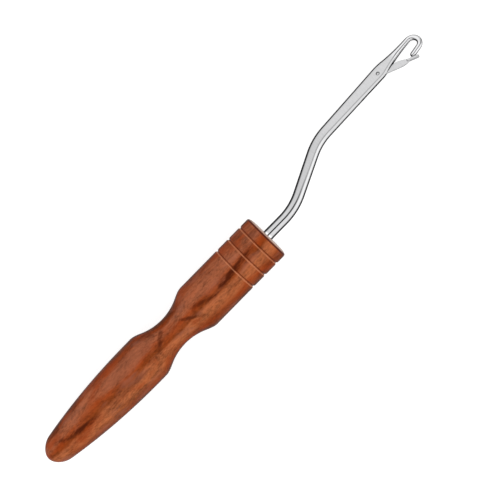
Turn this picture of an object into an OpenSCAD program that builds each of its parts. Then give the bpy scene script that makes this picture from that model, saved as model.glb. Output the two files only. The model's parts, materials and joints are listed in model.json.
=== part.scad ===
// Bent latch hook: a turned wooden handle, a cranked steel shank that ends in a
// hook, and a small latch that swings on a rivet to close the hook.
// Row frame: +X from the butt to the hook, +Z up, as the tool lies on a table.
// Every piece is drawn in the tool's own frame first (X along the handle, the
// bends in the XY plane, the hook open towards -Y) and then laid down.

/* [Handle] */
// Length from the butt to the collar's face
handle_len = 91.4; // [84:0.1:110]
// Radius of the belly at its widest
belly_r = 7.5; // [6.5:0.05:9]
// Distance from the butt to the widest part of the belly
belly_x = 39.7; // [34:0.1:41]
// Radius that the taper towards the butt would reach at the butt
butt_r = 3.8; // [2.5:0.1:5]
// Length of the rounded nose at the butt
nose_len = 4.8; // [3:0.1:8]
// Radius of the waist at its narrowest
waist_r = 4.92; // [4:0.05:6]
// Distance from the butt to the waist
waist_x = 52; // [51:0.1:54]
// Radius of the cove that forms the waist
cove_r = 17; // [14:0.5:20]
// How far the cove's two shoulders are softened
shoulder_soft = 1.1; // [0.4:0.1:2]
// Radius of the collar
collar_r = 7.6; // [7:0.05:9]
// Length of the rounding at the collar's face
rim_len = 0.9; // [0.3:0.1:1.5]
// Depth of that rounding towards the axis
rim_depth = 2; // [0.5:0.1:3]

/* [Turned grooves] */
// Number of V grooves around the collar
groove_count = 3; // [1:1:3]
// Distance from one groove to the next
groove_pitch = 4.75; // [3:0.05:5]
// Distance from the collar's face to the last groove
groove_from_face = 4; // [3:0.1:6]
// Width of a groove at the surface
groove_w = 1; // [0.5:0.05:1.5]
// Depth of a groove
groove_depth = 0.4; // [0.2:0.05:0.6]

/* [Shank] */
// Diameter of the wire where it leaves the handle
shank_d = 3.4; // [3.3:0.05:4.5]
// Diameter of the tang inside the handle
tang_d = 3.2; // [2.4:0.05:3.2]
// Length of the tang inside the handle
tang_len = 32; // [20:1:36]
// Straight stretch between the handle and the first bend
exit_len = 6.4; // [3:0.1:12]
// Radius of both bends of the crank, on the centre line
bend_r = 18; // [12:0.5:24]
// Angle of the crank to the handle's axis
crank_angle = 28.6; // [24:0.1:34]
// Straight stretch between the two bends
crank_len = 13.2; // [10:0.1:18]
// Angle of the blade to the handle's axis
blade_lean = 2.8; // [0:0.1:6]
// Straight stretch from the second bend to the rivet
blade_len = 23; // [19:0.1:30]
// Thickness of the blade at the rivet, where the wire is pressed flattest
blade_t = 2.2; // [2:0.05:2.6]

/* [Hook] */
// Blade that stays pressed flat past the rivet
flat_past = 0.9; // [0.8:0.1:2]
// Length over which the flats fade back into the round wire
flat_fade = 7.8; // [5:0.1:9]
// Distance from the rivet to the start of the wire's taper
taper_past = 2.7; // [1.5:0.1:4]
// Straight arm from the end of the flat to the hook's bend
arm_len = 12.7; // [12:0.1:16]
// Angle of that arm to the handle's axis
arm_lean = 4.2; // [3:0.1:6]
// Diameter of the hook's wire
hook_wire = 1.65; // [1.2:0.05:1.9]
// Radius of the hook's bend, on the centre line
hook_bend_r = 2.2; // [2:0.05:2.5]
// Angle that the hook turns through
hook_turn = 174; // [168:1:178]
// Straight stretch from the hook's bend to its rounded tip
tip_len = 2.9; // [2:0.1:3]

/* [Latch] */
// Diameter of the rivet
rivet_d = 1.2; // [0.9:0.05:1.3]
// How far each rivet head stands proud of the blade
rivet_proud = 0.06; // [0.02:0.01:0.15]
// Distance from the blade's centre line to the rivet, towards the open side
rivet_offset = 0.45; // [0.3:0.05:0.55]
// Thickness of the latch's leaf
leaf_t = 0.5; // [0.4:0.05:0.6]
// Radius of the leaf's eye round the rivet
eye_r = 0.95; // [0.85:0.05:1.1]
// Length of the leaf from the rivet to the start of the spoon
leaf_len = 9.2; // [8:0.1:9.6]
// Width of the leaf at its widest
leaf_w = 2.1; // [1.6:0.05:2.2]
// Length of the spoon
spoon_len = 4; // [3:0.1:4.2]
// Width of the spoon
spoon_w = 1.1; // [1:0.05:1.4]
// Height of the spoon's rims
spoon_h = 0.65; // [0.5:0.05:0.7]
// Depth of the dish in the spoon
dish_depth = 0.15; // [0.1:0.05:0.2]
// Angle between the closed latch and the handle's axis
latch_lean = 23.5; // [23.4:0.1:28]
// Angle of the spoon to the leaf
spoon_lean = 3; // [0:0.5:4]

/* [Fits] */
// Radial clearance of the latch's eye on the rivet
pivot_clear = 0.05; // [0.02:0.01:0.08]
// Clearance on each side of the leaf in its slot
slot_clear = 0.1; // [0.05:0.01:0.15]
// Clearance between the leaf's edges and the slot's walls
floor_clear = 0.2; // [0.1:0.05:0.3]
// Clearance of the spoon's dish round the hook's wire
dish_clear = 0.1; // [0.05:0.01:0.2]
// Free depth of the bore beyond the tang's end
bore_spare = 1; // [0.5:0.5:3]

/* [Hidden] */
fine = 96;
round_steps = 8;

// The shank's centre line: legs of [length, turn, steps], from the handle's face
function arc_len(r, turn) = r * abs(turn) * PI / 180;
legs = [
    [exit_len, 0, 1],
    [arc_len(bend_r, crank_angle), crank_angle, 8],
    [crank_len, 0, 4],
    [arc_len(bend_r, crank_angle - blade_lean), blade_lean - crank_angle, 8],
    [blade_len, 0, 6],
    [flat_past, arm_lean - blade_lean, 2],
    [arm_len, 0, 16],
    [arc_len(hook_bend_r, hook_turn), -hook_turn, 26],
    [tip_len, 0, 2]
];
function leg_start(i) = i == 0 ? 0 : leg_start(i - 1) + legs[i - 1][0];
rivet_at = leg_start(5);
kink_at = leg_start(6);
hook_at = leg_start(7);
tip_at = leg_start(8) + tip_len;

// A place on the centre line is [x, y, heading]
function advance(p, length, turn) =
    turn == 0
    ? [p[0] + length * cos(p[2]), p[1] + length * sin(p[2]), p[2]]
    : let (r = length / (turn * PI / 180))
      [p[0] + r * (sin(p[2] + turn) - sin(p[2])),
       p[1] - r * (cos(p[2] + turn) - cos(p[2])),
       p[2] + turn];
function place(d, p = [handle_len, 0, 0], i = 0) =
    i == len(legs) - 1 || d <= legs[i][0]
    ? advance(p, d, legs[i][1] * d / legs[i][0])
    : place(d - legs[i][0], advance(p, legs[i][0], legs[i][1]), i + 1);

// The section is a round wire, drawn thin towards the hook and pressed flat
// towards the rivet. Pressing keeps the area, so the wire widens as it thins.
function share(d, from, length) = max(0, min(1, (d - from) / length));
function mix(a, b, u) = a + (b - a) * u;
blade_press = blade_t / shank_d;
taper_at = rivet_at + taper_past;
taper_end = hook_at + hook_bend_r / 2;
draw_power = 1.6;
function wire_at(d) =
    mix(hook_wire, shank_d, pow(1 - share(d, taper_at, taper_end - taper_at), draw_power));
function press_at(d) =
    d < kink_at
    ? mix(1, blade_press, share(d, exit_len, rivet_at - exit_len))
    : mix(blade_press, 1, share(d, kink_at, flat_fade));
function thick_at(d) = wire_at(d) * press_at(d);
function width_at(d) =
    let (p = press_at(d)) wire_at(d) * (p + (1 / p - p) * PI / 4);

// The tool lies on its collar and on the shank's rounded back edge, at the point
// where the wire's taper starts
rest = place(taper_at);
rest_r = thick_at(taper_at) / 2;
rest_centre = rest[1] + (width_at(taper_at) / 2 - rest_r) * cos(arm_lean);
lie_angle = asin((collar_r - rest_r) / rest_centre);

// Size of the whole tool as it lies, for the origin
hook_start = place(hook_at);
tool_len = hook_start[0] + hook_bend_r * (1 + sin(arm_lean)) + hook_wire / 2;
kink = place(kink_at);
back_centre = kink[1] + (width_at(kink_at) - blade_t) / 2 * cos(arm_lean);
tool_side = back_centre * cos(lie_angle) + blade_t / 2;

// The rivet, off the blade's centre line towards the open side
blade_end = place(rivet_at);
pivot = [
    blade_end[0] + rivet_offset * sin(blade_lean),
    blade_end[1] - rivet_offset * cos(blade_lean)
];
slot_w = leaf_t + 2 * slot_clear;

module lying() {
    translate([-tool_len / 2, -(tool_side - collar_r) / 2, collar_r])
        rotate([-lie_angle, 0, 0])
            children();
}

// The handle's outline: a swelling body, cut by a cove, then the collar
taper_power = 2.1;
body_steps = 44;
function taper(x) =
    x < belly_x ? belly_r - (belly_r - butt_r) * pow(1 - x / belly_x, taper_power) : belly_r;
function nose(x) = x < nose_len ? sqrt(1 - pow(1 - x / nose_len, 2)) : 1;
function blank(x) = x < waist_x ? taper(x) * nose(x) : collar_r;
function cove(x) =
    waist_r + cove_r - sqrt(max(0, cove_r * cove_r - pow(x - waist_x, 2)));
function soft_min(a, b) =
    min(a, b) - pow(max(shoulder_soft - abs(a - b), 0), 2) / (4 * shoulder_soft);
function handle_r(x) = soft_min(blank(x), cove(x));

first_groove = handle_len - groove_from_face - (groove_count - 1) * groove_pitch;
cove_end = waist_x + cove_r * 0.75;
nose_xs = [for (i = [1:round_steps]) nose_len * (1 - cos(90 * i / round_steps))];
body_xs = [for (i = [1:body_steps]) mix(nose_len, cove_end, i / body_steps)];
bore_end = handle_len - tang_len - bore_spare;

function handle_outline() = concat(
    [[0, 0]],
    [for (x = concat(nose_xs, body_xs)) [handle_r(x), x]],
    [for (i = [0:groove_count - 1], k = [-1:1])
        [collar_r - (k == 0 ? groove_depth : 0),
         first_groove + i * groove_pitch + k * groove_w / 2]],
    [for (i = [0:round_steps])
        [collar_r - rim_depth * (1 - cos(90 * i / round_steps)),
         handle_len - rim_len * (1 - sin(90 * i / round_steps))]],
    [[tang_d / 2, handle_len], [tang_d / 2, bore_end], [0, bore_end]]
);

module handle() {
    color("saddlebrown")
    lying()
        rotate([0, 90, 0])
            rotate_extrude($fn = fine)
                polygon(handle_outline());
}

// One ring of the shank: a flattened circle square to the centre line
side_steps = 12;
function ring(d, size = 1, along = 0) =
    let (p = place(d), r = size * thick_at(d) / 2, flat = size * (width_at(d) - thick_at(d)) / 2)
    [for (side = [1, -1], k = [0:side_steps - 1])
        let (a = 180 * (k + 0.5) / side_steps - 90)
        let (across = side * (flat + r * cos(a)))
        [p[0] + along * cos(p[2]) - across * sin(p[2]),
         p[1] + along * sin(p[2]) + across * cos(p[2]),
         side * r * sin(a)]];

// Rings along the legs, then a round end on the wire
tip_steps = 6;
shank_rings = concat(
    [for (i = [0:len(legs) - 1], k = [0:legs[i][2] - 1])
        ring(leg_start(i) + legs[i][0] * k / legs[i][2])],
    [for (i = [0:tip_steps - 1])
        ring(tip_at, cos(90 * i / tip_steps), hook_wire / 2 * sin(90 * i / tip_steps))]
);

module swept(rings) {
    sides = len(rings[0]);
    last = len(rings) - 1;
    polyhedron(
        points = [for (r = rings, p = r) p],
        faces = concat(
            [[for (k = [0:sides - 1]) k]],
            [[for (k = [0:sides - 1]) last * sides + sides - 1 - k]],
            [for (i = [0:last - 1], k = [0:sides - 1], half = [0:1])
                let (a = i * sides + k, b = i * sides + (k + 1) % sides)
                half == 0 ? [a, a + sides, b] : [b, a + sides, b + sides]]
        )
    );
}

// The slot that the leaf swings in, seen square to the blade: it clears the
// eye, the closed leaf towards the hook and the folded leaf towards the handle.
// Its front wall slopes the way the closed leaf leans.
slot_top = eye_r + floor_clear;
slot_back = leaf_len + floor_clear;
slot_front = 4.8;
slot_drop = 0.4;
slot_lean = 22;
slot_mouth = slot_front + (shank_d - slot_drop) / tan(slot_lean);
module slot() {
    translate([pivot[0], pivot[1], -slot_w / 2])
        rotate([0, 0, blade_lean])
            linear_extrude(slot_w)
                polygon([
                    [-slot_back, -shank_d],
                    [-slot_back, -slot_drop],
                    [-slot_top, slot_top],
                    [slot_top, slot_top],
                    [slot_front, -slot_drop],
                    [slot_mouth, -shank_d]
                ]);
}

module shank() {
    color("silver")
    lying()
        difference() {
            union() {
                swept(shank_rings);
                translate([handle_len - tang_len, 0, 0])
                    rotate([0, 90, 0])
                        cylinder(d = tang_d, h = tang_len + exit_len / 2, $fn = fine);
            }
            slot();
            translate([pivot[0], pivot[1], -blade_t])
                cylinder(d = rivet_d, h = 2 * blade_t, $fn = fine);
        }
}

// The latch in its own frame: pivot at the origin, spoon at +X, hook side at +Y.
// The leaf's edges are given as shares of its length and of its width.
outer_edge = [[0.1, -0.28], [0.58, -0.43], [0.8, -0.48], [0.95, -0.41], [1.03, -0.24]];
inner_edge = [[1.12, 0.21], [1, 0.38], [0.8, 0.62], [0.6, 0.63], [0.1, 0.27]];
leaf_end = leaf_len + spoon_w;
spoon_floor = -0.12;
module leaf() {
    translate([0, 0, -leaf_t / 2])
        linear_extrude(leaf_t)
            difference() {
                union() {
                    circle(r = eye_r, $fn = fine);
                    polygon(concat(
                        [for (p = outer_edge) [p[0] * leaf_len, p[1] * leaf_w]],
                        [[leaf_end, spoon_floor], [leaf_end, spoon_floor + spoon_h / 2]],
                        [for (p = inner_edge) [p[0] * leaf_len, p[1] * leaf_w]]
                    ));
                }
                circle(r = rivet_d / 2 + pivot_clear, $fn = fine);
            }
}

// A narrow plate with round ends, hollowed on the side that meets the hook's tip
dish_r = hook_wire / 2 + dish_clear;
module spoon() {
    translate([leaf_len, spoon_floor, 0])
        rotate([0, 0, -spoon_lean])
            difference() {
                translate([spoon_w / 2, 0, 0])
                    rotate([-90, 0, 0])
                        linear_extrude(spoon_h)
                            union() {
                                circle(d = spoon_w, $fn = fine);
                                translate([0, -spoon_w / 2])
                                    square([spoon_len - spoon_w, spoon_w]);
                                translate([spoon_len - spoon_w, 0])
                                    circle(d = spoon_w, $fn = fine);
                            }
                translate([spoon_w, spoon_h - dish_depth + dish_r, 0])
                    rotate([0, 90, 0])
                        cylinder(r = dish_r, h = spoon_len, $fn = fine);
            }
}

module latch() {
    color("gainsboro")
    lying()
        translate([pivot[0], pivot[1], 0])
            rotate([0, 0, -latch_lean])
                union() {
                    leaf();
                    spoon();
                }
}

module latch_rivet() {
    color("dimgray")
    lying()
        translate([pivot[0], pivot[1], 0])
            for (side = [0, 1])
                mirror([0, 0, side])
                    union() {
                        cylinder(d = rivet_d, h = blade_t / 2, $fn = fine);
                        translate([0, 0, blade_t / 2])
                            cylinder(d1 = rivet_d, d2 = rivet_d - 2 * rivet_proud, h = rivet_proud, $fn = fine);
                    }
}

handle();
shank();
latch();
latch_rivet();
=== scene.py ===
# Bent latch hook: a turned, lacquered handle, a bright cranked shank with its hook,
# and the small latch on its rivet. Metres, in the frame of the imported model.
import math

import bmesh
import bpy
from mathutils import Matrix, Vector
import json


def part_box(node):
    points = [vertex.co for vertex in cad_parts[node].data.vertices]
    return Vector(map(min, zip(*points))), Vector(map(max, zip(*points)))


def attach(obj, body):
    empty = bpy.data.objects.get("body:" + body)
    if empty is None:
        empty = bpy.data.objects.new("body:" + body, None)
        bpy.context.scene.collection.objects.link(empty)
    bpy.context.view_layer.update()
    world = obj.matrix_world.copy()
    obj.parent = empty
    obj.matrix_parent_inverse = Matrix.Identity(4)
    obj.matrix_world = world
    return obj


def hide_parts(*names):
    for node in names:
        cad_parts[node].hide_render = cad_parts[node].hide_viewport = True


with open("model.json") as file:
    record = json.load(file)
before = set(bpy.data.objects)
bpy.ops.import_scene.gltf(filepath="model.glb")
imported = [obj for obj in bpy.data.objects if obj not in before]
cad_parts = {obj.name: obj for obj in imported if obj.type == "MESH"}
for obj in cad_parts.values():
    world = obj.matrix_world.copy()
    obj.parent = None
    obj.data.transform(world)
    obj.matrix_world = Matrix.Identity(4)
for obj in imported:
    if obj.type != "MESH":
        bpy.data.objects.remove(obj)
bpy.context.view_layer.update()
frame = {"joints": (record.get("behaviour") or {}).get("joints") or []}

MM = 0.001
hinge = frame["joints"][0]
handle_low, handle_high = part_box("handle")


# Sizes of the tool, in millimetres and degrees, the same as the solids have

HANDLE_LEN = 91.4
BELLY_R = 7.5
BELLY_X = 39.7
BUTT_R = 3.8
NOSE_LEN = 4.8
WAIST_R = 4.92
WAIST_X = 52.0
COVE_R = 17.0
SHOULDER_SOFT = 1.1
COLLAR_R = 7.6
RIM_LEN = 0.9
RIM_DEPTH = 2.0
TAPER_POWER = 2.1

GROOVE_COUNT = 3
GROOVE_PITCH = 4.75
GROOVE_FROM_FACE = 4.0
GROOVE_HALF = 0.5
GROOVE_DEPTH = 0.4
FIRST_GROOVE = HANDLE_LEN - GROOVE_FROM_FACE - (GROOVE_COUNT - 1) * GROOVE_PITCH
GROOVES = [FIRST_GROOVE + i * GROOVE_PITCH for i in range(GROOVE_COUNT)]

SHANK_D = 3.4
TANG_D = 3.2
TANG_LEN = 32.0
BORE_SPARE = 1.0
EXIT_LEN = 6.4
BEND_R = 18.0
CRANK_ANGLE = 28.6
CRANK_LEN = 13.2
BLADE_LEAN = 2.8
BLADE_LEN = 23.0
BLADE_T = 2.2
FLAT_PAST = 0.9
FLAT_FADE = 7.8
TAPER_PAST = 2.7
DRAW_POWER = 1.6
ARM_LEN = 12.7
ARM_LEAN = 4.2
HOOK_WIRE = 1.65
HOOK_BEND_R = 2.2
HOOK_TURN = 174.0
TIP_LEN = 2.9

RIVET_D = 1.2
RIVET_OFFSET = 0.45
RIVET_PROUD = 0.06
EYE_R = 0.95
EYE_HOLE_R = 0.65
LEAF_T = 0.5
LEAF_LEN = 9.2
LEAF_W = 2.1
OUTER_EDGE = [(0.1, -0.28), (0.58, -0.43), (0.8, -0.48), (0.95, -0.41), (1.03, -0.24)]
INNER_EDGE = [(1.12, 0.21), (1.0, 0.38), (0.8, 0.62), (0.6, 0.63), (0.1, 0.27)]
SPOON_LEN = 4.0
SPOON_W = 1.1
SPOON_H = 0.65
SPOON_FLOOR = -0.12
SPOON_LEAN = 3.0
DISH_DEPTH = 0.15
DISH_R = HOOK_WIRE / 2 + 0.1
LATCH_LEAN = 23.5
SLOT_W = 0.7
SLOT_CLEAR = 0.2
SLOT_FRONT = 4.8
SLOT_DROP = 0.4
SLOT_SLOPE = 22.0


# Fine detail of the pieces, in millimetres and degrees

GROOVE_LIP = 0.1
LIP_DROP = 0.03
LIP_EASE = 0.7
GROOVE_FLOOR = 0.02
SOFT_RIM = 0.12
EYE_FROM = 50
EYE_TO = 320
# The rivet's head, filed to a low dome: distance from its axis, and drop from its top
RIVET_DOME = [(0.0, 0.0), (0.2, 0.012), (0.34, 0.04), (0.44, 0.1), (0.54, 0.2), (RIVET_D / 2, 0.32)]


# How finely the pieces are made, and the differences that count as none

HANDLE_SIDES = 160
NOSE_STEPS = 18
BODY_STEPS = 150
COVE_REACH = 0.75
RIM_STEPS = 12
WIRE_SIDES = 64
TIP_STEPS = 8
TIP_LAST_TURN = 88
ROUND_SIDES = 48
DISH_SIDES = 64
TURN_STEP = 10
SOFT_STEPS = 3
SAME = 0.001 * MM
DOUBLES = 0.002 * MM
LEAST_SCALE = 1e-6
LEAST_MOVE = 1e-8


# The way the tool lies: the hinge's axis is square to the plane that the tool bends in

lie_angle = math.atan2(-hinge["axis"][1], -hinge["axis"][2])
axis_y = (handle_low.y + handle_high.y) / 2
LYING = Matrix.Translation((handle_low.x, axis_y, COLLAR_R * MM)) @ Matrix.Rotation(-lie_angle, 4, "X")


def mix(a, b, share):
    return a + (b - a) * share


def clamp(value, low=0.0, high=1.0):
    return max(low, min(high, value))


# Modelling helpers

def only(piece=None):
    """Nothing is selected but this piece, which is active."""
    if bpy.context.mode != "OBJECT":
        bpy.ops.object.mode_set(mode="OBJECT")
    bpy.ops.object.select_all(action="DESELECT")
    if piece is not None:
        piece.select_set(True)
        bpy.context.view_layer.objects.active = piece


def edit(piece, select="DESELECT", mode="VERT"):
    """Edit mode on this piece, and its mesh as it stands."""
    only(piece)
    bpy.ops.object.mode_set(mode="EDIT")
    bpy.ops.mesh.select_mode(type=mode)
    bpy.ops.mesh.select_all(action=select)
    return bmesh.from_edit_mesh(piece.data)


def named(name):
    """The object just added, under its own name."""
    piece = bpy.context.active_object
    piece.name = name
    piece.data.name = name
    return piece


def settle(piece):
    """Puts the piece's place into its mesh, so that its object is at the origin."""
    only(piece)
    bpy.ops.object.transform_apply(location=True, rotation=True, scale=True)


def face_outward(piece):
    """Turns every face of a closed piece outward."""
    mesh = edit(piece, "SELECT")
    bpy.ops.mesh.normals_make_consistent(inside=False)
    if mesh.calc_volume(signed=True) < 0:
        bpy.ops.mesh.flip_normals()
    only(piece)


def extrude(step):
    bpy.ops.mesh.extrude_region_move(TRANSFORM_OT_translate={"value": step})


def in_plane(flat, a, b, lift=0.0):
    """Metres from millimetres: a and b in the plane square to the flat axis, lift along it."""
    return (a * MM, b * MM, lift * MM) if flat == "Z" else (a * MM, lift * MM, b * MM)


def drawn(name, points, flat):
    """A new piece in edit mode: one line through the points, in the plane square to the flat axis."""
    only()
    bpy.ops.mesh.primitive_plane_add(size=MM)
    piece = named(name)
    edit(piece, "SELECT")
    bpy.ops.mesh.merge(type="CENTER")
    bpy.ops.transform.translate(value=in_plane(flat, *points[0]))
    for (a0, b0), (a1, b1) in zip(points, points[1:]):
        extrude(in_plane(flat, a1 - a0, b1 - b0))
    return piece


def turned(name, outline, axis, sides):
    """A closed solid, turned about the axis from its outline in the XZ plane."""
    piece = drawn(name, outline, "Y")
    edit(piece, "SELECT")
    bpy.ops.mesh.spin(steps=sides, angle=2 * math.pi, center=(0, 0, 0), axis=axis)
    edit(piece, "SELECT")
    bpy.ops.mesh.remove_doubles(threshold=DOUBLES)
    face_outward(piece)
    return piece


def plate(name, outline, thickness, flat="Z"):
    """A plate with this outline; flat names the axis square to it."""
    piece = drawn(name, outline, flat)
    bpy.ops.mesh.select_all(action="SELECT")
    bpy.ops.mesh.edge_face_add()
    extrude(in_plane(flat, 0, 0, thickness))
    face_outward(piece)
    return piece


def soften_rims(piece, levels, axis):
    """Rounds the edges that lie in a plate's two faces, which are at these levels of the axis."""
    def in_face(v):
        return any(abs(v.co[axis] - level * MM) < SAME for level in levels)

    mesh = edit(piece, mode="EDGE")
    for edge in mesh.edges:
        first, second = edge.verts
        level_edge = abs(first.co[axis] - second.co[axis]) < SAME
        edge.select_set(level_edge and in_face(first) and in_face(second))
    bpy.ops.mesh.bevel(offset=SOFT_RIM * MM, segments=SOFT_STEPS, profile=0.5, clamp_overlap=False)
    only(piece)


def drill(name, r, middle):
    """A round cutter along Z, long enough to pass through the blade."""
    only()
    bpy.ops.mesh.primitive_cylinder_add(
        vertices=ROUND_SIDES, radius=r * MM, depth=2 * BLADE_T * MM, location=middle)
    cutter = named(name)
    settle(cutter)
    return cutter


def join(piece, other, operation):
    """Cuts the other piece out of this one, or adds it to this one."""
    only(piece)
    blend = piece.modifiers.new("join", "BOOLEAN")
    blend.operation = operation
    blend.solver = "MANIFOLD"
    blend.object = other
    bpy.ops.object.modifier_apply(modifier="join")
    bpy.data.objects.remove(other)


def lay(piece, crease, on_tool=Matrix()):
    """Lays a finished piece as the tool lies; edges that turn less than the crease look smooth."""
    only(piece)
    piece.matrix_world = LYING @ on_tool
    settle(piece)
    bpy.ops.object.shade_smooth_by_angle(angle=math.radians(crease))
    return piece


# The handle, turned from its outline

def taper(x):
    if x >= BELLY_X:
        return BELLY_R
    return BELLY_R - (BELLY_R - BUTT_R) * (1 - x / BELLY_X) ** TAPER_POWER


def nose(x):
    return math.sqrt(1 - (1 - x / NOSE_LEN) ** 2) if x < NOSE_LEN else 1.0


def cove(x):
    return WAIST_R + COVE_R - math.sqrt(max(0, COVE_R ** 2 - (x - WAIST_X) ** 2))


def handle_r(x):
    blank = taper(x) * nose(x) if x < WAIST_X else COLLAR_R
    hollow = cove(x)
    overlap = max(SHOULDER_SOFT - abs(blank - hollow), 0)
    return min(blank, hollow) - overlap ** 2 / (4 * SHOULDER_SOFT)


def groove_outline(at):
    """One V groove with its rounded lips and floor, as (x, r)."""
    lip_r = COLLAR_R - LIP_DROP
    wall_r = lip_r - GROOVE_DEPTH / GROOVE_HALF * GROOVE_LIP * LIP_EASE
    floor_r = COLLAR_R - GROOVE_DEPTH + GROOVE_FLOOR
    wall = [
        (GROOVE_HALF + GROOVE_LIP, COLLAR_R),
        (GROOVE_HALF, lip_r),
        (GROOVE_HALF - GROOVE_LIP, wall_r),
        (GROOVE_LIP / 2, floor_r),
    ]
    return [(at - x, r) for x, r in wall] + [(at + x, r) for x, r in reversed(wall)]


def handle_outline():
    """The outline as (x, r), from the butt round to the end of the tang's bore."""
    points = [(0.0, 0.0)]
    for i in range(1, NOSE_STEPS + 1):
        x = NOSE_LEN * (1 - math.cos(math.pi / 2 * i / NOSE_STEPS))
        points.append((x, handle_r(x)))
    cove_end = WAIST_X + COVE_R * COVE_REACH
    for i in range(1, BODY_STEPS + 1):
        x = mix(NOSE_LEN, cove_end, i / BODY_STEPS)
        points.append((x, handle_r(x)))
    for at in GROOVES:
        points += groove_outline(at)
    for i in range(RIM_STEPS + 1):
        turn = math.pi / 2 * i / RIM_STEPS
        x = HANDLE_LEN - RIM_LEN * (1 - math.sin(turn))
        points.append((x, COLLAR_R - RIM_DEPTH * (1 - math.cos(turn))))
    bore_end = HANDLE_LEN - TANG_LEN - BORE_SPARE
    return points + [(HANDLE_LEN, TANG_D / 2), (bore_end, TANG_D / 2), (bore_end, 0.0)]


def make_handle():
    handle = turned("turned_handle", handle_outline(), (1, 0, 0), HANDLE_SIDES)
    return lay(handle, crease=28)


# The shank: a wire drawn thin towards the hook and pressed flat towards the rivet

def arc(r, turn):
    return r * abs(math.radians(turn))


# Stretches of its centre line: length, turn in degrees, and rings along it
LEGS = [
    (EXIT_LEN, 0.0, 4),
    (arc(BEND_R, CRANK_ANGLE), CRANK_ANGLE, 16),
    (CRANK_LEN, 0.0, 8),
    (arc(BEND_R, CRANK_ANGLE - BLADE_LEAN), BLADE_LEAN - CRANK_ANGLE, 16),
    (BLADE_LEN, 0.0, 12),
    (FLAT_PAST, ARM_LEAN - BLADE_LEAN, 3),
    (ARM_LEN, 0.0, 24),
    (arc(HOOK_BEND_R, HOOK_TURN), -HOOK_TURN, 40),
    (TIP_LEN, 0.0, 3),
]


def leg_start(index):
    return sum(leg[0] for leg in LEGS[:index])


def centre_at(d):
    """Where the centre line is after d millimetres: (x, y, heading in degrees)."""
    x, y, heading = HANDLE_LEN, 0.0, 0.0
    for i, (length, turn, _) in enumerate(LEGS):
        part = d if i == len(LEGS) - 1 else min(d, length)
        angle = turn * part / length
        here, there = math.radians(heading), math.radians(heading + angle)
        if turn:
            r = length / math.radians(turn)
            x += r * (math.sin(there) - math.sin(here))
            y -= r * (math.cos(there) - math.cos(here))
        else:
            x += part * math.cos(here)
            y += part * math.sin(here)
        heading += angle
        d -= part
        if d <= 0:
            break
    return x, y, heading


RIVET_AT = leg_start(5)
KINK_AT = leg_start(6)
HOOK_AT = leg_start(7)
TIP_AT = leg_start(8) + TIP_LEN
TAPER_AT = RIVET_AT + TAPER_PAST
TAPER_END = HOOK_AT + HOOK_BEND_R / 2


def section(d):
    """Half thickness, and half of the flat, of the wire at d, in millimetres."""
    drawn_out = clamp((d - TAPER_AT) / (TAPER_END - TAPER_AT))
    wire = mix(HOOK_WIRE, SHANK_D, (1 - drawn_out) ** DRAW_POWER)
    pressed = BLADE_T / SHANK_D
    if d < KINK_AT:
        press = mix(1, pressed, clamp((d - EXIT_LEN) / (RIVET_AT - EXIT_LEN)))
    else:
        press = mix(pressed, 1, clamp((d - KINK_AT) / FLAT_FADE))
    thick = wire * press
    # Pressing moves steel sideways, so the wire's section keeps its area
    wide = wire * (press + (1 / press - press) * math.pi / 4)
    return thick / 2, (wide - thick) / 2


def wire_stations():
    """Each ring as (d, half thickness, half flat), from the handle's face to the tip."""
    stations = []
    for i, (length, _, steps) in enumerate(LEGS):
        for k in range(steps):
            d = leg_start(i) + length * k / steps
            stations.append((d, *section(d)))
    return stations


def tip_stations():
    """The round end of the wire, nearly closed."""
    half = HOOK_WIRE / 2
    turns = [math.pi / 2 * i / TIP_STEPS for i in range(TIP_STEPS)] + [math.radians(TIP_LAST_TURN)]
    return [(TIP_AT + half * math.sin(turn), half * math.cos(turn), 0.0) for turn in turns]


def widen_ring(mesh, centre, heading, step):
    """Moves the two halves of the selected ring apart, across the wire."""
    lean = math.radians(heading)
    across = Vector((-math.sin(lean), math.cos(lean), 0))
    ring = [v for v in mesh.verts if v.select]
    for side in (1, -1):
        for v in ring:
            v.select_set((v.co - centre).dot(across) * side > SAME)
        bpy.ops.transform.translate(value=across * side * step)
    for v in ring:
        v.select_set(True)
    mesh.select_flush(True)


def grow_wire(piece, stations):
    """Extrudes the selected ring along the centre line, through the stations."""
    mesh = bmesh.from_edit_mesh(piece.data)
    d, half, flat = stations[0]
    x, y, heading = centre_at(d)
    for d, new_half, new_flat in stations[1:]:
        new_x, new_y, new_heading = centre_at(d)
        extrude(((new_x - x) * MM, (new_y - y) * MM, 0))
        centre = Vector((new_x * MM, new_y * MM, 0))
        if new_heading != heading:
            turn = math.radians(heading - new_heading)
            bpy.ops.transform.rotate(value=turn, orient_axis="Z", center_override=centre)
        scale = new_half / half
        if abs(scale - 1) > LEAST_SCALE:
            bpy.ops.transform.resize(value=(scale, scale, scale), center_override=centre)
        widen = (new_flat - flat * scale) * MM
        if abs(widen) > LEAST_MOVE:
            widen_ring(mesh, centre, new_heading, widen)
        x, y, heading, half, flat = new_x, new_y, new_heading, new_half, new_flat


def rivet_place():
    """The middle of the rivet, in the tool's own frame."""
    x, y, heading = centre_at(RIVET_AT)
    lean = math.radians(heading)
    x += RIVET_OFFSET * math.sin(lean)
    y -= RIVET_OFFSET * math.cos(lean)
    return Vector((x * MM, y * MM, 0))


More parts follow.
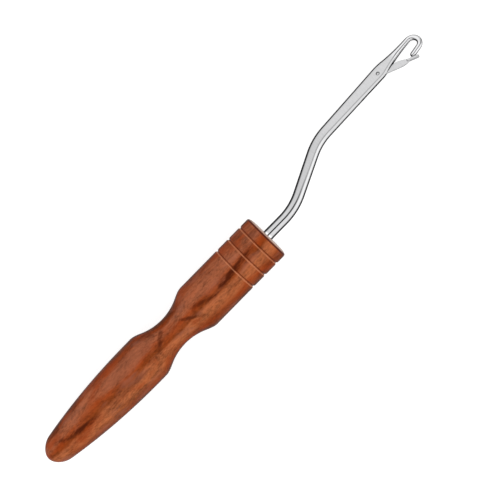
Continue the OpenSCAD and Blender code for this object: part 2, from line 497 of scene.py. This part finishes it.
def slot_cutter():
    """A block with the slot's side view, in the tool's own frame."""
    top = EYE_R + SLOT_CLEAR
    back = LEAF_LEN + SLOT_CLEAR
    mouth = SLOT_FRONT + (SHANK_D - SLOT_DROP) / math.tan(math.radians(SLOT_SLOPE))
    outline = [
        (-back, -SHANK_D), (mouth, -SHANK_D), (SLOT_FRONT, -SLOT_DROP),
        (top, top), (-top, top), (-back, -SLOT_DROP)]
    cutter = plate("slot_cutter", outline, SLOT_W)
    cutter.rotation_euler = (0, 0, math.radians(BLADE_LEAN))
    cutter.location = rivet_place() + Vector((0, 0, -SLOT_W / 2 * MM))
    settle(cutter)
    return cutter


def make_shank():
    # The tang starts as a filled circle, square to the handle's axis
    only()
    tang_end = Vector(((HANDLE_LEN - TANG_LEN) * MM, 0, 0))
    bpy.ops.mesh.primitive_circle_add(
        vertices=WIRE_SIDES, radius=TANG_D / 2 * MM, fill_type="TRIFAN",
        location=tang_end, rotation=(0, math.pi / 2, 0))
    shank = named("cranked_shank")
    settle(shank)
    mesh = edit(shank)
    for v in mesh.verts:
        v.select_set((v.co - tang_end).length > TANG_D / 4 * MM)
    mesh.select_flush(True)
    # Out to the handle's face, where the wire is a little thicker than its tang
    extrude((TANG_LEN * MM, 0, 0))
    extrude((0, 0, 0))
    swell = SHANK_D / TANG_D
    bpy.ops.transform.resize(value=(swell, swell, swell), center_override=(HANDLE_LEN * MM, 0, 0))
    grow_wire(shank, wire_stations() + tip_stations())
    bpy.ops.mesh.merge(type="CENTER")
    edit(shank, "SELECT")
    bpy.ops.mesh.remove_doubles(threshold=SAME)
    face_outward(shank)
    join(shank, slot_cutter(), "DIFFERENCE")
    join(shank, drill("rivet_hole_cutter", RIVET_D / 2, rivet_place()), "DIFFERENCE")
    return lay(shank, crease=32)


# The latch: a pressed leaf on the rivet, with a small spoon that covers the hook's tip

def softened(points):
    """The same open outline with its corners cut twice."""
    for _ in range(2):
        cut = [points[0]]
        for (x0, y0), (x1, y1) in zip(points, points[1:]):
            cut += [(mix(x0, x1, share), mix(y0, y1, share)) for share in (0.25, 0.75)]
        points = cut + [points[-1]]
    return points


def make_leaf():
    spoon_root = LEAF_LEN + SPOON_W
    outer = [(share * LEAF_LEN, width * LEAF_W) for share, width in OUTER_EDGE]
    inner = [(share * LEAF_LEN, width * LEAF_W) for share, width in INNER_EDGE]
    turns = [math.radians(angle) for angle in range(EYE_FROM, EYE_TO, TURN_STEP)]
    eye = [(EYE_R * math.cos(turn), EYE_R * math.sin(turn)) for turn in turns]
    under = (spoon_root, SPOON_FLOOR)
    over = (spoon_root, SPOON_FLOOR + SPOON_H / 2)
    outline = softened(outer + [under]) + softened([over] + inner) + eye
    leaf = plate("latch_leaf", outline, LEAF_T)
    soften_rims(leaf, (0.0, LEAF_T), axis=2)
    leaf.location.z = -LEAF_T / 2 * MM
    settle(leaf)
    return leaf


def make_spoon():
    half = SPOON_W / 2
    end = SPOON_LEN - half
    turns = [math.radians(angle) for angle in range(0, 181, TURN_STEP)]
    heel = [(half * (1 - math.sin(turn)), half * math.cos(turn)) for turn in turns]
    toe = [(end + half * math.sin(turn), -half * math.cos(turn)) for turn in turns]
    spoon = plate("latch_spoon", heel + toe, SPOON_H, flat="Y")
    soften_rims(spoon, (0.0, SPOON_H), axis=1)
    only()
    bpy.ops.mesh.primitive_cylinder_add(
        vertices=DISH_SIDES, radius=DISH_R * MM, depth=SPOON_LEN * MM, rotation=(0, math.pi / 2, 0),
        location=((SPOON_W + SPOON_LEN / 2) * MM, (SPOON_H - DISH_DEPTH + DISH_R) * MM, 0))
    dish = named("dish_cutter")
    settle(dish)
    join(spoon, dish, "DIFFERENCE")
    spoon.location = (LEAF_LEN * MM, SPOON_FLOOR * MM, 0)
    spoon.rotation_euler.z = -math.radians(SPOON_LEAN)
    settle(spoon)
    return spoon


def make_latch():
    latch = make_leaf()
    join(latch, make_spoon(), "UNION")
    join(latch, drill("eye_cutter", EYE_HOLE_R, (0, 0, 0)), "DIFFERENCE")
    lean = Matrix.Rotation(-math.radians(LATCH_LEAN), 4, "Z")
    lay(latch, crease=50, on_tool=Matrix.Translation(rivet_place()) @ lean)
    latch.name = "hinged_latch"
    return latch


# The rivet, its heads filed to low domes

def make_rivet():
    top = BLADE_T / 2 + RIVET_PROUD
    upper = [(r, top - drop) for r, drop in RIVET_DOME]
    lower = [(r, -z) for r, z in upper]
    rivet = turned("domed_rivet", lower + upper[::-1], (0, 0, 1), ROUND_SIDES)
    return lay(rivet, crease=40, on_tool=Matrix.Translation(rivet_place()))


# Colours

def colour(shade):
    return (*shade, 1.0)


def grey(value):
    return (value, value, value, 1.0)


def seen(red, green, blue):
    """A colour given as the eye sees it, from 0 to 255."""
    shares = [c / 255 for c in (red, green, blue)]
    return tuple(c / 12.92 if c <= 0.04045 else ((c + 0.055) / 1.055) ** 2.4 for c in shares)


# Materials

class Nodes:
    """A node tree under construction, and short ways to add nodes to it and join them."""

    def __init__(self, tree):
        self.tree = tree
        tree.nodes.clear()

    def add(self, kind, inputs=None, **settings):
        """A new node; each input is a plain value, or the output that feeds it."""
        node = self.tree.nodes.new("ShaderNode" + kind)
        for key, value in settings.items():
            setattr(node, key, value)
        for key, value in (inputs or {}).items():
            if isinstance(value, bpy.types.NodeSocket):
                self.tree.links.new(value, node.inputs[key])
            else:
                node.inputs[key].default_value = value
        return node

    def maths(self, operation, a, b=0.0, c=0.0):
        return self.add("Math", {0: a, 1: b, 2: c}, operation=operation).outputs[0]

    def times(self, a, b):
        return self.maths("MULTIPLY", a, b)

    def times_plus(self, a, b, c):
        return self.maths("MULTIPLY_ADD", a, b, c)

    def swing(self, value, amount, middle):
        """The value's swing about a half, made this wide and set about this middle."""
        return self.times_plus(self.maths("SUBTRACT", value, 0.5), amount, middle)

    def scaled(self, shade, light):
        """The colour, lighter or darker by this factor."""
        return self.add("VectorMath", {0: shade, "Scale": light}, operation="SCALE").outputs[0]

    def mapped(self, vector, scale, place=(0, 0, 0), turn=0.0, kind="POINT"):
        """The vector scaled, turned about Z and shifted; the kind TEXTURE undoes the same steps."""
        return self.add("Mapping", {
            "Vector": vector, "Location": place, "Rotation": (0, 0, math.radians(turn)), "Scale": scale,
        }, vector_type=kind).outputs["Vector"]

    def noise(self, vector, scale, detail, roughness=0.5, place=(0, 0, 0), turn=0.0):
        return self.add("TexNoise", {
            "Vector": self.mapped(vector, scale, place, turn),
            "Scale": 1.0, "Detail": detail, "Roughness": roughness,
        }).outputs["Fac"]

    def ramp(self, value, stops, interpolation="LINEAR"):
        node = self.add("ValToRGB", {"Fac": value})
        node.color_ramp.interpolation = interpolation
        elements = node.color_ramp.elements
        elements.remove(elements[-1])
        elements[0].position = stops[0][0]
        elements[0].color = colour(stops[0][1])
        for position, shade in stops[1:]:
            elements.new(position).color = colour(shade)
        return node.outputs["Color"]

    def smooth(self, value, low, high):
        """0 up to low, 1 from high on and a soft rise between; it falls where low is the greater."""
        backward = low > high
        return self.add("MapRange", {
            "Value": value, "From Min": min(low, high), "From Max": max(low, high),
            "To Min": 1.0 if backward else 0.0, "To Max": 0.0 if backward else 1.0,
        }, interpolation_type="SMOOTHSTEP").outputs["Result"]

    def line(self, value, middle, half):
        """1 at the middle, down to 0 at half on both sides."""
        away = self.maths("ABSOLUTE", self.maths("SUBTRACT", value, middle))
        return self.smooth(away, half, half * 0.3)

    def blend(self, under, over, share):
        """The one colour under the other; either may be plain or come from a node."""
        under, over = (c if isinstance(c, bpy.types.NodeSocket) else colour(c) for c in (under, over))
        return self.add("MixRGB", {"Fac": share, "Color1": under, "Color2": over}).outputs[0]


class Finish(Nodes):
    """A material under construction."""

    def __init__(self, name):
        self.material = bpy.data.materials.new(name)
        self.material.use_nodes = True
        super().__init__(self.material.node_tree)

    def finish(self, shader):
        self.add("OutputMaterial", {"Surface": shader})
        return self.material


# Painted reflections across the handle: two light bands where the soft boxes would shine, darker between
# them and darkest at the two flanks, from the flank at -Y to the flank at +Y
PAINTED_REFLECTION_BANDS = [
    (0.0, seen(92, 42, 18)),
    (0.09, seen(134, 61, 27)),
    (0.22, seen(170, 95, 56)),
    (0.33, seen(167, 93, 56)),
    (0.44, seen(130, 60, 24)),
    (0.54, seen(148, 68, 32)),
    (0.68, seen(164, 92, 60)),
    (0.8, seen(158, 88, 58)),
    (0.9, seen(132, 57, 23)),
    (1.0, seen(88, 40, 17)),
]

# Dark streaks of the figure, and painted shade across the shoulder, on the upper side of the handle, in
# millimetres:
# middle (from the butt, and to the side), half sizes, turn in degrees, depth
STREAKS_AND_SHOULDER_SHADE = [
    ((15.0, -0.6), (10.5, 1.3), -7.0, 1.0),
    ((8.0, 0.9), (4.5, 1.0), -25.0, 0.7),
    ((33.0, -2.3), (13.0, 1.2), 1.0, 0.5),
    ((48.6, 1.2), (5.4, 1.1), 42.0, 0.8),
    # Painted shade across the shoulder, where the belly turns into the cove
    ((46.6, 4.5), (4.2, 0.9), -42.0, 0.8),
    ((76.0, -0.1), (11.0, 1.5), 6.5, 1.0),
    ((65.5, -0.2), (6.0, 1.3), -14.0, 0.8),
    ((58.8, -0.4), (6.0, 0.8), -33.0, 0.7),
    ((89.0, 3.4), (3.5, 2.0), 0.0, 0.4),
    ((83.5, 1.3), (4.5, 1.8), 10.0, 0.45),
]

# Pale, pinkish patches of the figure, given in the same way
PALE_PATCHES = [
    ((37.5, 2.8), (14.5, 3.0), 1.0, 0.8),
    ((67.0, 3.0), (9.0, 2.4), -3.0, 0.25),
]

# The patches and streaks lie this far above the handle's axis, and reach as far up and down
MARK_UP = 7.0

# The wood's colours
# Colour of the dark streaks and of the painted shoulder shade
STREAK_AND_SHADE = seen(78, 28, 9)
PALE_PATCH = seen(158, 90, 62)
RED_STAIN = seen(150, 56, 12)
PALE_STAIN = seen(150, 92, 72)
# Painted shade along the handle's flanks
FLANK_SHADE_COLOUR = seen(60, 26, 10)
# Painted highlight and painted shade on the two walls of each groove
GROOVE_HIGHLIGHT = seen(205, 130, 92)
GROOVE_SHADE = seen(92, 34, 10)
# Painted dark line of shade at the arris, and painted highlight on the rim and end face
ARRIS_SHADE = seen(80, 34, 26)
RIM_GLARE = seen(166, 132, 112)
END_FACE_GLARE = seen(196, 172, 160)

# How strongly each grain of the wood lightens and darkens it, its mean and its greatest light
MOTTLE_DEPTH = 1.2
FIBRE_DEPTH = 0.9
FLECK_DEPTH = 1.35
MEAN_LIGHT = 0.885
MOST_LIGHT = 1.15

# Where the painted highlight on the end's rim starts, in millimetres from the butt, and the painted dark
# line of shade before it
GLARE_AT = HANDLE_LEN - 0.42
ARRIS_AT = GLARE_AT - 0.2
ARRIS_HALF = 0.35


def lacquered_wood():
    wood = Finish("lacquered_wood")
    object_place = wood.add("TexCoord").outputs["Object"]
    # Millimetres from the butt, on the handle's axis
    butt = (-handle_low.x / MM, -axis_y / MM, -COLLAR_R)
    on_axis = wood.mapped(object_place, (1 / MM, 1 / MM, 1 / MM), place=butt)
    parts = wood.add("SeparateXYZ", {"Vector": on_axis})
    along, across, up = parts.outputs["X"], parts.outputs["Y"], parts.outputs["Z"]
    r = wood.maths("SQRT", wood.maths("ADD", wood.times(across, across), wood.times(up, up)))
    sideways = wood.maths("DIVIDE", across, r)

    # Broad painted reflection bands along the blank, wandering a little
    wander = wood.noise(on_axis, (0.06, 0.14, 0.14), detail=2.0)
    band_at = wood.swing(wander, 0.3, wood.times_plus(sideways, 0.5, 0.5))
    shade = wood.ramp(band_at, PAINTED_REFLECTION_BANDS, "EASE")

    # Soft mottle, long fibres and short fine flecks
    mottle = wood.noise(on_axis, (0.17, 0.45, 0.45), detail=3.0)
    fibre = wood.noise(on_axis, (0.1, 1.0, 1.0), detail=4.0, roughness=0.6)
    fleck = wood.noise(on_axis, (0.95, 2.1, 2.1), detail=3.0, roughness=0.6)
    light = wood.swing(mottle, MOTTLE_DEPTH, MEAN_LIGHT)
    light = wood.swing(fibre, FIBRE_DEPTH, light)
    light = wood.swing(fleck, FLECK_DEPTH, light)
    light = wood.maths("SMOOTH_MIN", light, MOST_LIGHT, 0.3)
    shade = wood.scaled(shade, light)

    # Patches where the stain sank in red, and paler ones
    sunk = wood.noise(on_axis, (0.11, 0.3, 0.3), detail=2.0, place=(7, 3, 5))
    shade = wood.blend(shade, RED_STAIN, wood.times(wood.smooth(sunk, 0.5, 0.75), 0.6))
    shade = wood.blend(shade, PALE_STAIN, wood.times(wood.smooth(sunk, 0.5, 0.28), 0.5))

    # The pale patches, and the dark streaks with the painted shoulder shade among them, frayed along the
    # fibres
    fray = wood.noise(on_axis, (0.35, 1.5, 1.5), detail=4.0, roughness=0.65)

    def marked(shade, marks, over, frays, full):
        for middle, half, turn, depth in marks:
            from_mark = wood.mapped(
                on_axis, (*half, MARK_UP), place=(*middle, MARK_UP), turn=turn, kind="TEXTURE")
            ball = wood.add("TexGradient", {"Vector": from_mark}, gradient_type="SPHERICAL").outputs["Fac"]
            frayed = wood.swing(fray, frays, ball)
            mark = wood.times(wood.smooth(frayed, 0.05, full), wood.smooth(ball, 0.0, 0.25))
            shade = wood.blend(shade, over, wood.times(mark, depth))
        return shade

    pale = wood.scaled(PALE_PATCH, wood.times_plus(light, 0.55, 0.4))
    shade = marked(shade, PALE_PATCHES, pale, frays=0.6, full=0.5)
    shade = marked(shade, STREAKS_AND_SHOULDER_SHADE, STREAK_AND_SHADE, frays=1.7, full=0.85)

    # Painted shade along the two flanks, where the handle turns away from above
    flank_shading = wood.smooth(wood.maths("ABSOLUTE", sideways), 0.91, 1.0)
    shade = wood.blend(shade, FLANK_SHADE_COLOUR, wood.times(flank_shading, 0.75))

    # Each groove: a painted highlight on the wall nearer the butt, varied by the mottle, and painted shade
    # on the other
    from_groove = wood.maths("SUBTRACT", along, GROOVES[1])
    from_groove = wood.maths("WRAP", from_groove, GROOVE_PITCH / 2, -GROOVE_PITCH / 2)
    in_collar = wood.maths("COMPARE", along, GROOVES[1], GROOVE_PITCH * 1.5)
    highlight_share = wood.times(in_collar, wood.times_plus(mottle, 0.9, 0.15))
    pale_wall = wood.times(wood.line(from_groove, -0.22, 0.26), highlight_share)
    dark_wall = wood.times(wood.line(from_groove, 0.24, 0.24), wood.times(in_collar, 0.65))
    shade = wood.blend(shade, GROOVE_HIGHLIGHT, pale_wall)
    shade = wood.blend(shade, GROOVE_SHADE, dark_wall)

    # Painted highlight on the rounded rim and end face by the shank, inside a painted dark line of shade at
    # the arris
    shade = wood.blend(shade, ARRIS_SHADE, wood.line(along, ARRIS_AT, ARRIS_HALF))
    glare = wood.blend(RIM_GLARE, END_FACE_GLARE, wood.smooth(along, GLARE_AT, HANDLE_LEN - 0.05))
    shade = wood.blend(shade, glare, wood.smooth(along, GLARE_AT, GLARE_AT + 0.15))

    bump = wood.add("Bump", {"Strength": 0.12, "Distance": 0.04 * MM, "Height": fibre})
    lacquer = wood.add("BsdfPrincipled", {
        "Base Color": shade, "Roughness": wood.times_plus(mottle, 0.14, 0.34),
        "Normal": bump.outputs["Normal"], "Specular IOR Level": 0.02,
    })
    return wood.finish(lacquer.outputs["BSDF"])


# The steel's colours: its body, and what it mirrors at a glancing angle
STEEL = (0.43, 0.43, 0.435)
RIVET_STEEL = (0.4, 0.4, 0.405)
GLANCING = (0.04, 0.04, 0.045)

# How far a surface of the steel faces up, for the faces that look up and for the sides:
# each goes from painted dark reflection at its first number to plain steel at its second
PRESSED_FACE = (0.62, 0.83)
SIDE_BAND_CLEAR = (0.38, 0.22)

# Where painted highlights, less painted shade and a painted dark reflection line lie on the shank, in
# millimetres from the butt, full at the second number
ROOT_GLINT = (92.3, 91.7)
RIDGE_FROM = (97.5, 101.0)
RIDGE_TO = (115.0, 101.0)
CRANK_FROM = (97.8, 106.8)
CRANK_TO = (128.0, 120.0)
ARM_HIGHLIGHT = (154.0, 157.0)
BEND_LESS_SHADE = (161.0, 163.5)


def plated_steel(name, base, roughness, grain, painted_shade_tone, shank_highlights=False):
    """Bright steel with painted dark reflections along its sides, at the tone given after the grain; the
    last flag adds the shank's painted highlights and dark reflection line.
    """
    steel = Finish(name)
    on_piece = steel.add("TexCoord")
    object_place = on_piece.outputs["Object"]
    normal = steel.add("SeparateXYZ", {"Vector": on_piece.outputs["Normal"]})

    # A fine grain across the wire, and a soft cloud in its gloss
    grain_scale = (5 / MM, 0.6 / MM, 0.6 / MM)
    scratches = steel.noise(object_place, grain_scale, detail=4.0, roughness=0.65, turn=-18)
    cloud = steel.noise(object_place, (0.25 / MM, 0.25 / MM, 0.25 / MM), detail=2.0)
    dark_base = tuple(c * 0.9 for c in base)
    light_base = tuple(c * 1.05 for c in base)
    shade = steel.ramp(scratches, [(0.25, dark_base), (0.7, light_base)])

    # Painted dark reflections on the slopes between the faces that look up and the sides
    upward = steel.maths("ABSOLUTE", normal.outputs["Z"])
    upward = steel.times_plus(normal.outputs["Y"], -0.05, upward)
    along = steel.add("SeparateXYZ", {"Vector": object_place}).outputs["X"]
    along = steel.times_plus(along, 1 / MM, -handle_low.x / MM)
    if shank_highlights:
        # Less painted dark reflection in the hook's bend
        upward = steel.times_plus(steel.smooth(along, *BEND_LESS_SHADE), 0.14, upward)
    tone = steel.maths("MAXIMUM", steel.smooth(upward, *PRESSED_FACE), steel.smooth(upward, *SIDE_BAND_CLEAR))
    tone = steel.times_plus(tone, 1 - painted_shade_tone, painted_shade_tone)
    if shank_highlights:
        tone = shank_painted_light(steel, along, normal, tone)

    bump = steel.add("Bump", {"Strength": grain, "Distance": 0.01 * MM, "Height": scratches})
    metal = steel.add("BsdfPrincipled", {
        "Base Color": steel.scaled(shade, tone), "Metallic": 1.0,
        "Roughness": steel.times_plus(cloud, 0.08, roughness - 0.04),
        "Normal": bump.outputs["Normal"], "Specular Tint": colour(GLANCING),
    })
    return steel.finish(metal.outputs["BSDF"])


def shank_painted_light(steel, along, normal, tone):
    """Painted highlights on the shank, and the painted dark reflection line along its ridge."""
    # A painted highlight along the arm
    arm = steel.smooth(along, *ARM_HIGHLIGHT)
    tone = steel.times(tone, steel.times_plus(arm, 0.3, 1.0))
    # The painted dark reflection line on the ridge of the round wire turns with the crank
    turned_part = steel.times(steel.smooth(along, *CRANK_FROM), steel.smooth(along, *CRANK_TO))
    lean = steel.times(normal.outputs["X"], steel.times(turned_part, -0.47))
    sideways = steel.maths("ADD", normal.outputs["Y"], lean)
    start = steel.times(steel.smooth(along, *RIDGE_FROM), steel.smooth(along, *RIDGE_TO))
    depth = steel.times_plus(arm, 0.72, steel.times(start, 0.88))
    ridge = steel.times(steel.line(sideways, 0.0, 0.19), depth)
    tone = steel.times(tone, steel.maths("SUBTRACT", 1.0, ridge))
    # A painted highlight ring where the shank leaves the wood
    root = steel.smooth(along, *ROOT_GLINT)
    tone = steel.times(tone, steel.times_plus(root, 0.6, 1.0))
    # A painted highlight on the crank's outer side
    crank_highlight = steel.times_plus(steel.smooth(sideways, -0.1, -0.28), 0.32, -0.1)
    return steel.times(tone, steel.times_plus(turned_part, crank_highlight, 1.0))


def dress(piece, material):
    piece.data.materials.clear()
    piece.data.materials.append(material)


# The pieces, each on its body

lacquer_finish = lacquered_wood()
# Each steel's last tone sets how dark its painted reflections along the sides are
bright_finish = plated_steel("plated_steel", STEEL, roughness=0.13, grain=0.1, painted_shade_tone=0.1, shank_highlights=True)
latch_finish = plated_steel("latch_steel", STEEL, roughness=0.2, grain=0.1, painted_shade_tone=0.85)
rivet_finish = plated_steel("rivet_steel", RIVET_STEEL, roughness=0.25, grain=0.15, painted_shade_tone=0.38)

handle = make_handle()
dress(handle, lacquer_finish)
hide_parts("handle")
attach(handle, "tool")

shank = make_shank()
dress(shank, bright_finish)
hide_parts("shank")
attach(shank, "tool")

latch = make_latch()
dress(latch, latch_finish)
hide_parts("latch")
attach(latch, "latch")

rivet = make_rivet()
dress(rivet, rivet_finish)
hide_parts("latch_rivet")
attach(rivet, "tool")


# The table, white to the eye and to what mirrors it, with the tool's shadow near the tool

TABLE_R = 2.0
TABLE_SIDES = 96
TABLE_DROP = 0.02 * MM
TABLE_SHADE = 0.5
TABLE_LIFT = 0.7
CLEAR_FROM = 0.16
CLEAR_TO = 0.3
SKY_LIGHT = 0.75


def shows_background(surface):
    """1 for the rays that show a background: to the camera, or by way of metal or glass."""
    path = surface.add("LightPath")
    rays = surface.maths("MAXIMUM", path.outputs["Is Camera Ray"], path.outputs["Is Glossy Ray"])
    return surface.maths("MAXIMUM", rays, path.outputs["Is Transmission Ray"])


def table_top():
    top = Finish("table_top")
    background = shows_background(top)
    object_place = top.add("TexCoord").outputs["Object"]
    away = top.add("VectorMath", {0: object_place}, operation="LENGTH").outputs["Value"]
    clear = top.add("MapRange", {"Value": away, "From Min": CLEAR_FROM, "From Max": CLEAR_TO})
    matt = top.add("BsdfDiffuse", {"Color": grey(TABLE_SHADE)})
    lift = top.add("Emission", {"Color": grey(1.0), "Strength": top.times(background, TABLE_LIFT)})
    shadowed = top.add("AddShader", {0: matt.outputs["BSDF"], 1: lift.outputs[0]})
    white = top.add("Emission", {"Color": grey(1.0), "Strength": 1.0})
    share = top.times(clear.outputs["Result"], background)
    shader = top.add("MixShader", {0: share, 1: shadowed.outputs[0], 2: white.outputs[0]})
    return top.finish(shader.outputs[0])


bpy.ops.mesh.primitive_circle_add(
    vertices=TABLE_SIDES, radius=TABLE_R, fill_type="NGON", location=(0, 0, -TABLE_DROP))
floor = named("table")
dress(floor, table_top())

world = bpy.data.worlds.new("studio")
bpy.context.scene.world = world
world.use_nodes = True
sky = Nodes(world.node_tree)
sky_strength = sky.times_plus(shows_background(sky), 1 - SKY_LIGHT, SKY_LIGHT)
sky_light = sky.add("Background", {"Color": grey(1.0), "Strength": sky_strength})
sky.add("OutputWorld", {"Surface": sky_light.outputs[0]})


# Two long soft boxes, one on each side of the tool, and a dark card between them

BOX_LEAN = 51.5
BOX_AWAY = 0.6
BOX_WIDTH = 0.88
CARD_PLACE = (0.026, 0, 0.62)
CARD_SIZE = (0.145, 0.27, 1)
CARD_SHADE = 0.02


def soft_box(name, side, power, along, length):
    data = bpy.data.lights.new(name, "AREA")
    data.shape = "RECTANGLE"
    data.size = length
    data.size_y = BOX_WIDTH
    data.energy = power
    lamp = bpy.data.objects.new(name, data)
    bpy.context.scene.collection.objects.link(lamp)
    lean = math.radians(BOX_LEAN)
    lamp.location = (along, side * BOX_AWAY * math.sin(lean), BOX_AWAY * math.cos(lean))
    lamp.rotation_euler = (-side * lean, 0, 0)
    lamp.visible_camera = False


def card_finish():
    dark = Finish("dark_card")
    return dark.finish(dark.add("BsdfDiffuse", {"Color": grey(CARD_SHADE)}).outputs["BSDF"])


soft_box("left_soft_box", side=1, power=1.6, along=0.0, length=1.0)
soft_box("right_soft_box", side=-1, power=3.4, along=0.3, length=1.7)

bpy.ops.mesh.primitive_plane_add(size=1.0, location=CARD_PLACE)
card = named("dark_card")
card.scale = CARD_SIZE
settle(card)
dress(card, card_finish())


# The camera looks straight down, from where the photograph was taken

CAMERA_UP = 0.2766
CAMERA_ALONG = 96.95
CAMERA_TURN = -45.56
SENSOR = 36
LENS = 66.12
SHIFT_X = -0.0619
SHIFT_Y = -0.0559

data = bpy.data.cameras.new("camera")
data.sensor_width = SENSOR
data.lens = LENS
data.shift_x = SHIFT_X
data.shift_y = SHIFT_Y
data.clip_start = 0.01
camera = bpy.data.objects.new("camera", data)
bpy.context.scene.collection.objects.link(camera)
camera.location = (handle_low.x + CAMERA_ALONG * MM, axis_y, CAMERA_UP)
camera.rotation_euler = (0, 0, math.radians(CAMERA_TURN))
bpy.context.scene.camera = camera
bpy.context.scene.view_settings.view_transform = "Standard"
